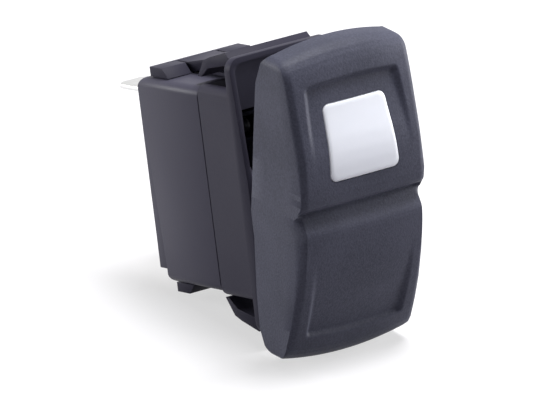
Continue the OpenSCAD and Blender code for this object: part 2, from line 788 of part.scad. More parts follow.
// Sweeps a round wire of radius r along a list of points.
module wire(path, r, sides = 6) {
    n = len(path);
    function heading(i) = let (d = path[min(i + 1, n - 1)] - path[max(i - 1, 0)]) d / norm(d);
    points = [
        for (i = [0:n - 1])
            let (t = heading(i), u0 = cross(t, [0, 1, 0]), u = u0 / norm(u0), v = cross(t, u))
            for (k = [0:sides - 1])
                path[i] + r * (cos(360 * k / sides) * u + sin(360 * k / sides) * v)
    ];
    walls = [
        for (i = [0:n - 2], k = [0:sides - 1])
            let (a = i * sides + k, b = i * sides + (k + 1) % sides)
            each [[a, b + sides, b], [a, a + sides, b + sides]]
    ];
    caps = [[for (k = [0:sides - 1]) k], [for (k = [sides - 1:-1:0]) (n - 1) * sides + k]];
    polyhedron(points, concat(walls, caps), convexity = 10);
}

module plunger_spring() {
    turns = 7;
    steps = 12;
    mean_r = plunger_r - wire_d / 2 - 0.15;
    y0 = -4 + wire_d / 2 + 0.03;
    y1 = SPRING_SEAT - wire_d / 2 - 0.03;
    coil = [
        for (i = [0:turns * steps])
            let (a = 360 * i / steps, t = i / (turns * steps))
            [mean_r * cos(a), y0 + (y1 - y0) * t, mean_r * sin(a)]
    ];
    color([0.75, 0.76, 0.78]) on_pivot() translate([row_x, 0, 0]) wire(coil, wire_d / 2);
}

// ---- contacts and terminals ----------------------------------------------------------

// Stands a piece of the contact blade at its rest angle about the knife edge.
module on_knife() {
    translate([0, knife_y, 0]) rotate([-rocking_tilt, 0, 0]) children();
}

module contact_blade() {
    half_vee = vee_d * tan(OPEN);
    color([0.78, 0.6, 0.35]) on_knife() along_x(row_x - rocking_w / 2, row_x + rocking_w / 2)
        polygon([
            [vee_d, -rocking_half], [vee_d - rocking_t, -rocking_half],
            [vee_d - rocking_t, rocking_half], [vee_d, rocking_half],
            [vee_d, half_vee], [0, 0], [vee_d, -half_vee],
        ]);
}

module blade_contact() {
    color([0.86, 0.86, 0.84]) on_knife() translate([row_x, 0, -rivet_z])
        round_bar(rivet_r, vee_d, vee_d + rivet_t);
}

// Flat terminal blade from y0 to its chamfered tip, centred at x and z.
module blade(x, z, y0) {
    half = blade_w / 2;
    cut = 1.2;
    translate([x, 0, z - blade_t / 2]) difference() {
        linear_extrude(blade_t) polygon([
            [-half, y0], [half, y0], [half, blade_tip_y - cut], [half - cut, blade_tip_y],
            [-half + cut, blade_tip_y], [-half, blade_tip_y - cut],
        ]);
        translate([0, blade_tip_y - blade_out * 0.4, -EPS])
            cylinder(r = blade_hole_r, h = blade_t + 2 * EPS);
    }
}

module common_terminal() {
    nose = blade_t / 2 / tan(STEEP);
    color([0.8, 0.66, 0.36]) {
        blade(row_x, 0, knife_y + run_gap + nose);
        along_x(row_x - blade_w / 2, row_x + blade_w / 2) polygon([
            [knife_y + run_gap, 0], [knife_y + run_gap + nose, blade_t / 2],
            [knife_y + run_gap + nose + EPS, blade_t / 2],
            [knife_y + run_gap + nose + EPS, -blade_t / 2],
            [knife_y + run_gap + nose, -blade_t / 2],
        ]);
    }
}

module load_terminal() {
    color([0.8, 0.66, 0.36]) {
        blade(row_x, -pitch, shelf_y);
        translate([row_x - blade_w / 2, shelf_y, -pitch - blade_t / 2])
            cube([blade_w, blade_t, pitch - rivet_z + rivet_r + blade_t / 2]);
    }
}

module load_contact() {
    color([0.86, 0.86, 0.84]) translate([row_x, 0, -rivet_z])
        round_bar(rivet_r, closed_y, shelf_y);
}

module lamp_terminal_upper() {
    color([0.85, 0.85, 0.83]) blade(-row_x, lamp_row, board_back + board_t);
}

module lamp_terminal_lower() {
    color([0.85, 0.85, 0.83]) blade(row_x, -lamp_row, board_back + board_t);
}

// Board along the left half, with an ear to the right that carries the lower blade.
module lamp_board() {
    half_l = inner_half_l - 0.2;
    left = inner_half_w - board_inset;
    ear_h = 6;
    color([0.16, 0.36, 0.22]) translate([-left, board_back, -half_l]) {
        cube([left + barrier_t / 2, board_t, 2 * half_l]);
        cube([2 * left, board_t, ear_h]);
    }
}

module lamp_led() {
    color([0.95, 0.95, 0.9]) translate([-lamp_x, 0, lamp_up]) {
        round_bar(lamp_r + 0.3, board_back - 0.9, board_back);
        round_bar(lamp_r, board_back - lamp_h + lamp_r, board_back - 0.85);
        translate([0, board_back - lamp_h + lamp_r, 0]) sphere(lamp_r);
    }
}

module lamp_resistor() {
    color([0.75, 0.66, 0.5]) translate([-lamp_x, board_back - resistor_r, -resistor_l])
        cylinder(r = resistor_r, h = resistor_l);
}

base_housing();
mounting_bracket();
base_seal();
rocker_shell();
indicator_lens();
lens_gasket();
light_guide();
rocker_yoke();
plunger();
plunger_spring();
contact_blade();
blade_contact();
common_terminal();
load_terminal();
load_contact();
lamp_terminal_upper();
lamp_terminal_lower();
lamp_board();
lamp_led();
lamp_resistor();
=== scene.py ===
"""Looks of a snap-in panel rocker switch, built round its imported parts.

The rocker's cap, its lens and the ribs under the wings are made here. The bracket, the base, the
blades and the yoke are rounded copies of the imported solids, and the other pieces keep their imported
shapes. Each has its own finish.
Lengths inside the classes are millimetres; meshes are written in metres.
"""

from __future__ import annotations

import logging
import math
from bisect import bisect_right
from dataclasses import dataclass
from enum import Enum
from typing import Any, Iterable, Sequence

import bmesh
import bpy
from mathutils import Matrix, Vector

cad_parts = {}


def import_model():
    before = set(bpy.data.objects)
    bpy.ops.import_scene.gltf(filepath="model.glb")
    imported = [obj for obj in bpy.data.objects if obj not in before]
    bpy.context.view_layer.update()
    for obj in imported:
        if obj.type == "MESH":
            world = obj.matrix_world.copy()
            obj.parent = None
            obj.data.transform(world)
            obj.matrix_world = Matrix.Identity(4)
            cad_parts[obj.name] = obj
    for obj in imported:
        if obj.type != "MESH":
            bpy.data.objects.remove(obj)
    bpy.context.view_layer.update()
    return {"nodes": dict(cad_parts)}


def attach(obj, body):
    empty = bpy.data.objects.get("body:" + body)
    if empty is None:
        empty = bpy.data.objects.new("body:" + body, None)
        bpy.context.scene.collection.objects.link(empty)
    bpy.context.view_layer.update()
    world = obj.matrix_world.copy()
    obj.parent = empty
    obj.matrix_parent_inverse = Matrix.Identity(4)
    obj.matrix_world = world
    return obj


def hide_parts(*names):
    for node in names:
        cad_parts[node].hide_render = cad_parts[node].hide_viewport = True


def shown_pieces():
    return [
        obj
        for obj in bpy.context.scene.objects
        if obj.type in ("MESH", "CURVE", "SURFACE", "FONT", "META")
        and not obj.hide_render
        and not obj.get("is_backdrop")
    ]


LOG = logging.getLogger("switch")
MM = 0.001

# points closer than this are one, in metres: in a new mesh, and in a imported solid
NEW_WELD = 1e-7
PACKED_WELD = 2e-6
# turns from face to face, in degrees: flat enough to join, sharp enough to round, shaded sharp
FLAT_TURN = 1.0
EDGE_TURN = 32.0
CREASE_TURN = 40.0
# faces across a rounded edge
EDGE_FACES = 2
# how many times broader the mottling of a finish is than its grain
MOTTLE_SIZE = 40.0
WHITE = (1.0, 1.0, 1.0, 1.0)

Point = tuple[float, float, float]
Table = Sequence[tuple[float, float]]


# ---- numbers ---------------------------------------------------------------------------


def along(table: Table, t: float) -> float:
    """Reads a table of (t, value) rows by straight lines between them.

    Args:
        table: Rows in rising order of t.
        t: Where to read. Beyond the ends, the end value holds.

    Returns:
        The value at t.
    """
    keys = [row[0] for row in table]
    if t <= keys[0]:
        return table[0][1]
    if t >= keys[-1]:
        return table[-1][1]
    i = bisect_right(keys, t) - 1
    (t0, v0), (t1, v1) = table[i], table[i + 1]
    return v0 + (v1 - v0) * (t - t0) / (t1 - t0)


def ease(t: float) -> float:
    """Smooth step from 0 at t = 0 to 1 at t = 1."""
    t = min(1.0, max(0.0, t))
    return t * t * (3 - 2 * t)


def steps(*spans: tuple[float, float, float]) -> list[float]:
    """Lists stations along spans of (start, end, pitch), each end shared with the next start.

    Args:
        *spans: Spans in order.

    Returns:
        The stations, without repeats.
    """
    out = [spans[0][0]]
    for a, b, pitch in spans:
        n = max(1, round(abs(b - a) / pitch))
        out += [a + (b - a) * (i + 1) / n for i in range(n)]
    return out


# ---- meshes ----------------------------------------------------------------------------


def add_mesh(name: str, points: Iterable[Point], faces: Sequence[Sequence[int]]) -> bpy.types.Object:
    """Makes an object from points in metres and faces, with its normals set outwards.

    Args:
        name: Name of the object and its mesh.
        points: Corner points in metres.
        faces: Loops of point numbers.

    Returns:
        The linked object.
    """
    mesh = bpy.data.meshes.new(name)
    mesh.from_pydata([tuple(p) for p in points], [], [tuple(f) for f in faces])
    work = bmesh.new()
    work.from_mesh(mesh)
    bmesh.ops.remove_doubles(work, verts=work.verts, dist=NEW_WELD)
    bmesh.ops.recalc_face_normals(work, faces=work.faces)
    work.to_mesh(mesh)
    work.free()
    mesh.update()
    made = bpy.data.objects.new(name, mesh)
    bpy.context.scene.collection.objects.link(made)
    return made


def bake_modifiers(piece: bpy.types.Object) -> None:
    """Turns a piece with live modifiers into the plain mesh that they give.

    Args:
        piece: The piece. Its modifiers are removed.
    """
    depsgraph = bpy.context.evaluated_depsgraph_get()
    plain = bpy.data.meshes.new_from_object(piece.evaluated_get(depsgraph))
    piece.modifiers.clear()
    piece.data = plain


def shade_by_angle(piece: bpy.types.Object, degrees: float = CREASE_TURN) -> None:
    """Shades a mesh smooth, with its edges sharp where they turn by more than an angle.

    Args:
        piece: The mesh object.
        degrees: The angle.
    """
    work = bmesh.new()
    work.from_mesh(piece.data)
    limit = math.radians(degrees)
    for face in work.faces:
        face.smooth = True
    for edge in work.edges:
        two = len(edge.link_faces) == 2
        edge.smooth = two and edge.calc_face_angle(math.pi) < limit
    work.to_mesh(piece.data)
    work.free()


def rounded_copy(node: bpy.types.Object, name: str, radius: float) -> bpy.types.Object:
    """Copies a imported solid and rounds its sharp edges.

    Args:
        node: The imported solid.
        name: Name of the copy.
        radius: Width of the rounding in millimetres.

    Returns:
        The copy, as a plain mesh at the origin.
    """
    mesh = node.data.copy()
    mesh.materials.clear()
    mesh.name = name
    work = bmesh.new()
    work.from_mesh(mesh)
    bmesh.ops.remove_doubles(work, verts=work.verts, dist=PACKED_WELD)
    bmesh.ops.dissolve_limit(
        work,
        angle_limit=math.radians(FLAT_TURN),
        verts=work.verts,
        edges=work.edges,
        use_dissolve_boundaries=False,
    )
    work.to_mesh(mesh)
    work.free()
    copy = bpy.data.objects.new(name, mesh)
    bpy.context.scene.collection.objects.link(copy)
    bevel = copy.modifiers.new("edges", "BEVEL")
    bevel.width = radius * MM
    bevel.segments = EDGE_FACES
    bevel.limit_method = "ANGLE"
    bevel.angle_limit = math.radians(EDGE_TURN)
    bevel.use_clamp_overlap = True
    bevel.miter_outer = "MITER_ARC"
    bake_modifiers(copy)
    shade_by_angle(copy)
    return copy


# ---- shader expressions ----------------------------------------------------------------


def add_node(
    tree: bpy.types.NodeTree, kind: str, settings: dict[str, Any], sockets: dict[str | int, Any]
) -> bpy.types.Node:
    """Adds a node to a tree, sets it up and connects it.

    Args:
        tree: The tree.
        kind: Blender's name of the node's type.
        settings: The node's own settings, set before its sockets.
        sockets: Values or links, by socket name or number.

    Returns:
        The node.
    """
    made = tree.nodes.new(kind)
    for key, value in settings.items():
        setattr(made, key, value)
    for key, value in sockets.items():
        if isinstance(value, bpy.types.NodeSocket):
            tree.links.new(value, made.inputs[key])
        else:
            made.inputs[key].default_value = value
    return made


class Value:
    """A shader socket that takes part in Python arithmetic."""

    def __init__(self, graph: Graph, socket: bpy.types.NodeSocket) -> None:
        """Wraps a socket of a graph."""
        self.graph = graph
        self.socket = socket

    def _math(self, operation: str, *terms: Any) -> Value:
        """Adds a Math node over the terms."""
        return self.graph.node("ShaderNodeMath", {"operation": operation}, dict(enumerate(terms)))

    def __add__(self, other: Any) -> Value:
        """self + other."""
        return self._math("ADD", self, other)

    __radd__ = __add__

    def __sub__(self, other: Any) -> Value:
        """self - other."""
        return self._math("SUBTRACT", self, other)

    def __rsub__(self, other: Any) -> Value:
        """other - self."""
        return self._math("SUBTRACT", other, self)

    def __mul__(self, other: Any) -> Value:
        """self * other."""
        return self._math("MULTIPLY", self, other)

    __rmul__ = __mul__

    def most(self, other: Any) -> Value:
        """The larger of self and other."""
        return self._math("MAXIMUM", self, other)


class Graph:
    """The node tree of one material or world."""

    def __init__(self, tree: bpy.types.NodeTree) -> None:
        """Empties the tree and takes it over."""
        self.tree = tree
        tree.nodes.clear()

    def node(
        self,
        kind: str,
        settings: dict[str, Any] | None = None,
        sockets: dict[str | int, Any] | None = None,
        out: str | int = 0,
    ) -> Value:
        """Adds a node, sets it up and connects it.

        Args:
            kind: Blender's name of the node's type.
            settings: The node's own settings.
            sockets: Values or links, by socket name or number.
            out: The output to return.

        Returns:
            The chosen output.
        """
        plain = {
            key: value.socket if isinstance(value, Value) else value
            for key, value in (sockets or {}).items()
        }
        return Value(self, add_node(self.tree, kind, settings or {}, plain).outputs[out])

    def noise(self, size: float, detail: float = 2.0, rough: float = 0.5) -> Value:
        """Noise over the piece, with features about size millimetres across.

        Args:
            size: Feature size in millimetres.
            detail: Octaves.
            rough: Strength of the finer octaves.

        Returns:
            The noise, about 0.5 on average.
        """
        where = self.node("ShaderNodeTexCoord", out="Object")
        return self.node(
            "ShaderNodeTexNoise",
            {"normalize": True},
            {"Vector": where, "Scale": 1.0 / (size * MM), "Detail": detail, "Roughness": rough},
        )

    def seen(self) -> Value:
        """Tells what is looked at from what only gets light.

        Returns:
            1 for rays from the camera, mirrored ones and ones that pass through, 0 for others.
        """
        path = add_node(self.tree, "ShaderNodeLightPath", {}, {})
        kinds = ("Is Camera Ray", "Is Glossy Ray", "Is Transmission Ray")
        first, second, third = (Value(self, path.outputs[kind]) for kind in kinds)
        return first.most(second).most(third)

    def finish(self, kind: str, shader: Value) -> None:
        """Adds the output node and connects the shader to it.

        Args:
            kind: Blender's name of the output's type.
            shader: What shades the surface.
        """
        add_node(self.tree, kind, {}, {"Surface": shader.socket})

    def blend(self, share: Value | float, low: Any, high: Any) -> Value:
        """Mixes two colours.

        Args:
            share: 0 gives low and 1 gives high.
            low: Colour or link.
            high: Colour or link.

        Returns:
            The mixed colour.
        """
        return self.node(
            "ShaderNodeMix", {"data_type": "RGBA"}, {"Factor": share, 6: low, 7: high}, out=2
        )


def rgba(colour: Sequence[float]) -> tuple[float, float, float, float]:
    """A solid colour with its alpha."""
    return (colour[0], colour[1], colour[2], 1.0)


@dataclass(frozen=True)
class Finish:
    """A finish with fine grain: what the pieces made of one material share.

    Attributes:
        name: Name of the material.
        colour: Base colour, linear.
        deep: Colour that the mottling leans to.
        roughness: Mean roughness.
        spread: How far roughness swings.
        metallic: 1 for metals.
        grain: Size of the surface grain in millimetres.
        relief: Height of the grain in millimetres.
        specular: Reflectance level.
        subsurface: Share of light that goes in and comes out.
        depth: How far that light travels, in millimetres.
        transmission: Share of light that passes through.
        contrast: Strength of the mottling.
    """

    name: str
    colour: tuple[float, float, float]
    deep: tuple[float, float, float]
    roughness: float = 0.5
    spread: float = 0.06
    metallic: float = 0.0
    grain: float = 0.25
    relief: float = 0.01
    specular: float = 0.5
    subsurface: float = 0.0
    depth: float = 1.0
    transmission: float = 0.0
    contrast: float = 1.0

    def make(self) -> bpy.types.Material:
        """Builds the material, once.

        Returns:
            The material.
        """
        found = bpy.data.materials.get(self.name)
        if found:
            return found
        material = bpy.data.materials.new(self.name)
        material.use_nodes = True
        graph = Graph(material.node_tree)
        fine = graph.noise(self.grain, 2.0, 0.6)
        broad = graph.noise(self.grain * MOTTLE_SIZE, 3.0, 0.55)
        mottle = graph.blend(self.mask(fine, broad), rgba(self.colour), rgba(self.deep))
        rough = (broad - 0.5) * (2 * self.spread) + (fine - 0.5) * self.spread + self.roughness
        sockets: dict[str | int, Any] = {
            "Base Color": mottle,
            "Roughness": rough,
            "Metallic": self.metallic,
            "Specular IOR Level": self.specular,
            "Transmission Weight": self.transmission,
            "Normal": self.bump(graph, fine),
        }
        if self.subsurface:
            sockets["Subsurface Weight"] = self.subsurface
            sockets["Subsurface Scale"] = self.depth * MM
            sockets["Subsurface Radius"] = (1.0, 1.0, 1.0)
        graph.finish("ShaderNodeOutputMaterial", graph.node("ShaderNodeBsdfPrincipled", {}, sockets))
        return material

    def mask(self, fine: Value, broad: Value) -> Value:
        """Share of the deep colour over the surface."""
        return (fine + broad - 1.0) * (0.5 * self.contrast) + 0.5

    def bump(self, graph: Graph, fine: Value) -> Value:
        """The grain's relief."""
        return graph.node(
            "ShaderNodeBump", {}, {"Strength": 1.0, "Distance": self.relief * MM, "Height": fine}
        )


class Looks(Enum):
    """The finishes of the switch, each with its material slot."""

    CAP = (
        "rocker_plastic",
        Finish(
            "spark_eroded_cap", (0.061, 0.063, 0.092), (0.039, 0.041, 0.062), 0.56, 0.04,
            grain=0.36, relief=0.045, contrast=5.0, specular=0.18,
        ),
    )
    BRACKET = (
        "bracket_nylon",
        Finish(
            "glass_filled_bracket", (0.034, 0.032, 0.048), (0.026, 0.025, 0.038), 0.46, 0.05,
            grain=0.4, relief=0.008, specular=0.05,
        ),
    )
    CASE = (
        "case_nylon",
        Finish(
            "glass_filled_case", (0.054, 0.052, 0.075), (0.044, 0.042, 0.062), 0.42, 0.05,
            grain=0.4, relief=0.008, specular=0.12,
        ),
    )
    LENS = (
        "lens_white",
        Finish(
            "frosted_lens", (0.80, 0.82, 0.88), (0.77, 0.79, 0.86), 0.4, 0.03,
            grain=0.6, relief=0.002, specular=0.3, subsurface=0.3, depth=1.5,
        ),
    )
    # near-black rubber; on the base seal, which fills the tray inside the bracket, this tone is also
    # painted shade standing in for the deep shade of that tray
    RUBBER_AND_SHADE = (
        "seal_rubber",
        Finish("black_rubber_and_painted_shade", (0.012, 0.012, 0.013), (0.018, 0.018, 0.02), 0.75, 0.05, grain=0.4),
    )
    YOKE = (
        "yoke_plastic",
        Finish("dark_yoke", (0.012, 0.012, 0.015), (0.009, 0.009, 0.012), 0.55, 0.05, grain=0.3),
    )
    GUIDE = (
        "clear_guide",
        Finish(
            "clear_guide", (0.85, 0.9, 0.92), (0.8, 0.86, 0.89), 0.12, 0.03,
            grain=0.8, relief=0.002, transmission=0.7,
        ),
    )
    PLUNGER = (
        "plunger_nylon",
        Finish("natural_nylon", (0.68, 0.65, 0.56), (0.62, 0.59, 0.5), 0.45, 0.04, relief=0.004),
    )
    SPRING = (
        "spring_steel",
        Finish("spring_wire", (0.6, 0.6, 0.62), (0.5, 0.5, 0.52), 0.28, metallic=1.0, relief=0.002),
    )
    COPPER = (
        "blade_copper",
        Finish(
            "contact_copper", (0.72, 0.42, 0.25), (0.6, 0.33, 0.2), 0.3, metallic=1.0, relief=0.003
        ),
    )
    SILVER = (
        "contact_silver",
        Finish(
            "contact_silver", (0.82, 0.82, 0.8), (0.7, 0.7, 0.69), 0.25, metallic=1.0, relief=0.002
        ),
    )
    BRASS = (
        "terminal_brass",
        Finish("brass_blade", (0.78, 0.6, 0.3), (0.66, 0.49, 0.24), 0.28, metallic=1.0, relief=0.003),
    )
    TINNED = (
        "terminal_tinned",
        Finish(
            "tinned_blade", (0.7, 0.7, 0.69), (0.6, 0.6, 0.6), 0.34, metallic=1.0, relief=0.003
        ),
    )
    BOARD = (
        "board_green",
        Finish("board_laminate", (0.03, 0.14, 0.06), (0.02, 0.1, 0.045), 0.35, grain=0.5, relief=0.004),
    )
    LAMP = (
        "lamp_epoxy",
        Finish(
            "smoked_epoxy", (0.03, 0.03, 0.034), (0.02, 0.02, 0.024), 0.2, 0.03,
            grain=0.6, relief=0.001, specular=0.3,
        ),
    )
    RESISTOR = (
        "resistor_body",
        Finish("resistor_lacquer", (0.5, 0.36, 0.2), (0.42, 0.3, 0.16), 0.35, relief=0.004),
    )

    @property
    def slot(self) -> str:
        """The finish's material slot."""
        return self.value[0]

    def make(self) -> bpy.types.Material:
        """The finish's material."""
        return self.value[1].make()


def dress(piece: bpy.types.Object, look: Looks, body: str, *nodes: str) -> bpy.types.Object:
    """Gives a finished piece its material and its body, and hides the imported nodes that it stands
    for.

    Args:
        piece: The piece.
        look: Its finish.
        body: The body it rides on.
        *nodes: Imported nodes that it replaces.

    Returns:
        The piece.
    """
    piece.data.materials.clear()
    piece.data.materials.append(look.make())
    look.slot
    if nodes:
        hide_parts(*nodes)
    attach(piece, body)
    LOG.info("%s: %d faces on %s", piece.name, len(piece.data.polygons), body)
    return piece


# ---- the rocker's cap ------------------------------------------------------------------


@dataclass
class RockerFrame:
    """Turns the rocker's own (x, z, height) into the row's frame."""

    pivot_back: float = 1.0
    tilt: float = 11.0

    def place(self, x: float, z: float, height: float) -> Point:
        """A point of the rocker in metres.

        Args:
            x: Sideways, in millimetres.
            z: Along the rocker, from its pivot.
            height: Forward of the pivot.

        Returns:
            The point in the row's frame.
        """
        s, c = math.sin(math.radians(self.tilt)), math.cos(math.radians(self.tilt))
        return (x * MM, (self.pivot_back - height * c - z * s) * MM, (z * c - height * s) * MM)


@dataclass
class RockerCap:
    """The moulded cap that is pressed: sculpted front, plain side walls, open back.

    Its grid has x across and t along the cap. t runs up from the cap's middle and is half_length
    at the ends of the side walls. The bulge stretches it towards the middle line.
    """

    frame: RockerFrame
    half_width: float = 12.75
    middle: float = 2.2
    half_length: float = 26.8
    bulge: float = 1.2
    corner: float = 1.9
    least_corner: float = 0.3
    wall: float = 1.8
    bevel: float = 1.05
    crown: float = 0.3
    field_depth: float = 0.8
    field_slope: float = 1.15

    # where each sunken field starts and ends, from the middle
    upper_field: tuple[float, float] = (8.0, 21.5)
    lower_field: tuple[float, float] = (6.5, 21.2)
    # half width of each field along the cap, (distance from the middle, half width)
    UPPER_SIDE: Table = ((1.5, 10.3), (14.0, 9.8), (21.5, 9.2))
    LOWER_SIDE: Table = ((7.0, 10.0), (21.2, 9.4))
    # power of the crown across the cap, and share of the bevel that is straight
    crown_power: float = 2.4
    bevel_straight: float = 0.45
    # least height of the inner face over the side walls' edge, and its drop behind the front
    inner_rise: float = 1.2
    inner_drop: float = 0.9
    # how far the walls' rear edge is rounded, and the share of their height where that starts
    rim: float = 0.12
    rim_start: float = 0.985
    # edges that turn by more degrees than this are shaded sharp
    crease: float = 32.0

    # how much the half width gains or loses along the cap, (t, gain)
    FLARE: Table = ((-26.8, 0.2), (-4.0, 0.2), (2.0, 0.0), (18.0, 0.0), (26.8, -0.12))
    # front line over the middle of the cap, (t, height), low end first
    FRONT: Table = (
        (-26.8, 13.6), (-26.6, 14.5), (-26.2, 15.4), (-25.6, 16.3), (-24.9, 17.0), (-24.0, 17.6),
        (-21.6, 18.5), (-18.6, 19.45), (-16.1, 20.15), (-13.7, 20.75), (-10.7, 21.35), (-7.8, 21.75),
        (-5.3, 21.95), (-3.2, 22.0), (-2.5, 21.95), (-2.0, 21.8), (-1.5, 21.5), (0.4, 20.1),
        (0.8, 19.75), (1.1, 19.8), (1.35, 20.4), (1.7, 21.2), (2.1, 21.65), (2.7, 21.9),
        (3.9, 22.0), (5.9, 21.95), (8.4, 21.7), (10.5, 21.35), (12.6, 20.85), (16.9, 19.55),
        (19.9, 18.7), (22.8, 17.8), (24.0, 17.35), (25.0, 16.8), (25.9, 16.0), (26.5, 15.0),
        (26.8, 13.8),
    )
    # front edge of the side walls
    SIDE: Table = (
        (-26.8, 13.2), (-26.2, 15.0), (-25.3, 16.1), (-24.0, 16.8), (-20.1, 18.0), (-15.8, 19.0),
        (-10.5, 19.5), (-6.1, 19.45), (-4.1, 19.1), (-2.7, 18.2), (-1.7, 17.6), (-0.9, 17.95),
        (0.6, 19.8), (2.4, 20.9), (4.5, 21.1), (11.1, 19.5), (20.6, 17.15), (24.6, 16.0),
        (26.1, 14.9), (26.8, 13.4),
    )
    # rear edge of the side walls
    REAR: Table = (
        (-26.8, 12.3), (-25.1, 10.6), (-22.4, 9.2), (-16.3, 8.4), (-6.4, 7.8), (-1.7, 6.9),
        (0.9, 7.0), (11.5, 7.6), (21.3, 8.3), (25.3, 9.8), (26.8, 11.2),
    )

    def half_at(self, x: float) -> float:
        """Half length of the cap at x."""
        return self.half_length + self.bulge * (1 - (x / self.half_width) ** 2)

    def sunken(self, x: float, t: float) -> float:
        """Depth of the sunken fields, which grows from the crest to the cap's ends.

        Args:
            x: Sideways, in millimetres.
            t: Along the grid, from the cap's middle.

        Returns:
            The depth below the crowned front.
        """
        start, end = self.upper_field if t > 0 else self.lower_field
        side = along(self.UPPER_SIDE if t > 0 else self.LOWER_SIDE, abs(t))
        depth = self.field_depth * ease((abs(t) - start) / (end - start))
        inside_end = ease((end - abs(t)) / self.field_slope + 0.5)
        return depth * inside_end * ease((side - abs(x)) / self.field_slope + 0.5)

    def height(self, x: float, t: float) -> float:
        """Height of the outer front face over the pivot.

        Args:
            x: Sideways, in millimetres.
            t: Along the grid, from the cap's middle.

        Returns:
            The height.
        """
        inner = self.half_width - self.bevel
        front = along(self.FRONT, t) - self.crown * min(1.0, abs(x) / inner) ** self.crown_power
        front -= self.sunken(x, t)
        share = (abs(x) - inner) / self.bevel
        if share <= 0:
            return front
        arc = 1 - math.sqrt(max(0.0, 1 - share * share))
        fall = self.bevel_straight * share + (1 - self.bevel_straight) * arc
        return front + (along(self.SIDE, t) - front) * fall

    def surface(self, x: float, z: float) -> float:
        """Height of the outer front face at a true x and z."""
        return self.height(x, (z - self.middle) * self.half_length / self.half_at(x))

    def stations(self) -> tuple[list[float], list[float]]:
        """Places grid lines, closer over the fields' rims, the bevel, the crest and the ends.

        Returns:
            Those across the cap and those along it.
        """
        inner = self.half_width - self.bevel
        half = steps((0, 8, 0.8), (8, 11, 0.2), (11, inner, 0.3), (inner, self.half_width, 0.13))
        across = [-x for x in reversed(half[1:])] + half
        end = self.half_length
        lengthwise = steps(
            (-end, -end + 2.8, 0.15), (-end + 2.8, -22.4, 0.4), (-22.4, -20.2, 0.2),
            (-20.2, -4.4, 0.5), (-4.4, 5.0, 0.15), (5.0, 20.4, 0.5), (20.4, 22.6, 0.2),
            (22.6, end - 2.8, 0.4), (end - 2.8, end, 0.15),
        )
        return across, lengthwise

    def plan(self, x: float, t: float, inset: float) -> tuple[float, float]:
        """Moves a grid point into the cap's outline, whose corners are rounded.

        Args:
            x: Sideways on the full grid.
            t: Along the grid.
            inset: How far inside the outline the grid's edge lies.

        Returns:
            The true x and z.
        """
        radius = max(self.least_corner, self.corner - inset)
        width = self.half_width + along(self.FLARE, t) - inset
        share = max(0.0, abs(t) - (self.half_length - self.corner)) / self.corner
        narrow = radius * (1 - math.sqrt(max(0.0, 1 - share * share)))
        reach = self.half_at(x) - inset
        return x / self.half_width * (width - narrow), self.middle + t / self.half_length * reach

    def inside(self, x: float, t: float) -> float:
        """Height of the inner face at t, the same for every x."""
        crest = min(along(self.FRONT, t), along(self.SIDE, t) + self.inner_rise)
        return crest - self.wall - self.inner_drop

    def build(self) -> bpy.types.Object:
        """Makes the cap as one closed shell with an open back.

        Returns:
            The cap, not yet opened for the lens.
        """
        across, lengthwise = self.stations()
        cols, rows = len(across), len(lengthwise)
        points: list[Point] = []
        faces: list[tuple[int, ...]] = []
        for inset, height in ((0.0, self.height), (self.wall, self.inside)):
            first = len(points)
            for t in lengthwise:
                for x in across:
                    points.append(self.frame.place(*self.plan(x, t, inset), height(x, t)))
            for r in range(rows - 1):
                for c in range(cols - 1):
                    a = first + r * cols + c
                    faces.append((a, a + 1, a + cols + 1, a + cols))
        ring = [(0, c) for c in range(cols)] + [(r, cols - 1) for r in range(1, rows)]
        ring += [(rows - 1, c) for c in range(cols - 2, -1, -1)]
        ring += [(r, 0) for r in range(rows - 2, 0, -1)]
        loops = [[r * cols + c for r, c in ring]]
        # down the outer wall, round its rear edge and up inside
        for inset, share in (
            (0.0, 0.25), (0.0, 0.5), (0.0, 0.75), (0.0, self.rim_start), (self.rim, 1.0),
            (self.wall - self.rim, 1.0), (self.wall, self.rim_start), (self.wall, 0.5),
        ):
            loop = []
            for r, c in ring:
                x, t = across[c], lengthwise[r]
                top = self.height(x, t) if inset < self.wall / 2 else self.inside(x, t)
                loop.append(len(points))
                level = top + (along(self.REAR, t) - top) * share
                points.append(self.frame.place(*self.plan(x, t, inset), level))
            loops.append(loop)
        loops.append([rows * cols + r * cols + c for r, c in ring])
        for a, b in zip(loops, loops[1:]):
            for i in range(len(ring)):
                j = (i + 1) % len(ring)
                faces.append((a[i], a[j], b[j], b[i]))
        return add_mesh("rocker_cap", points, faces)


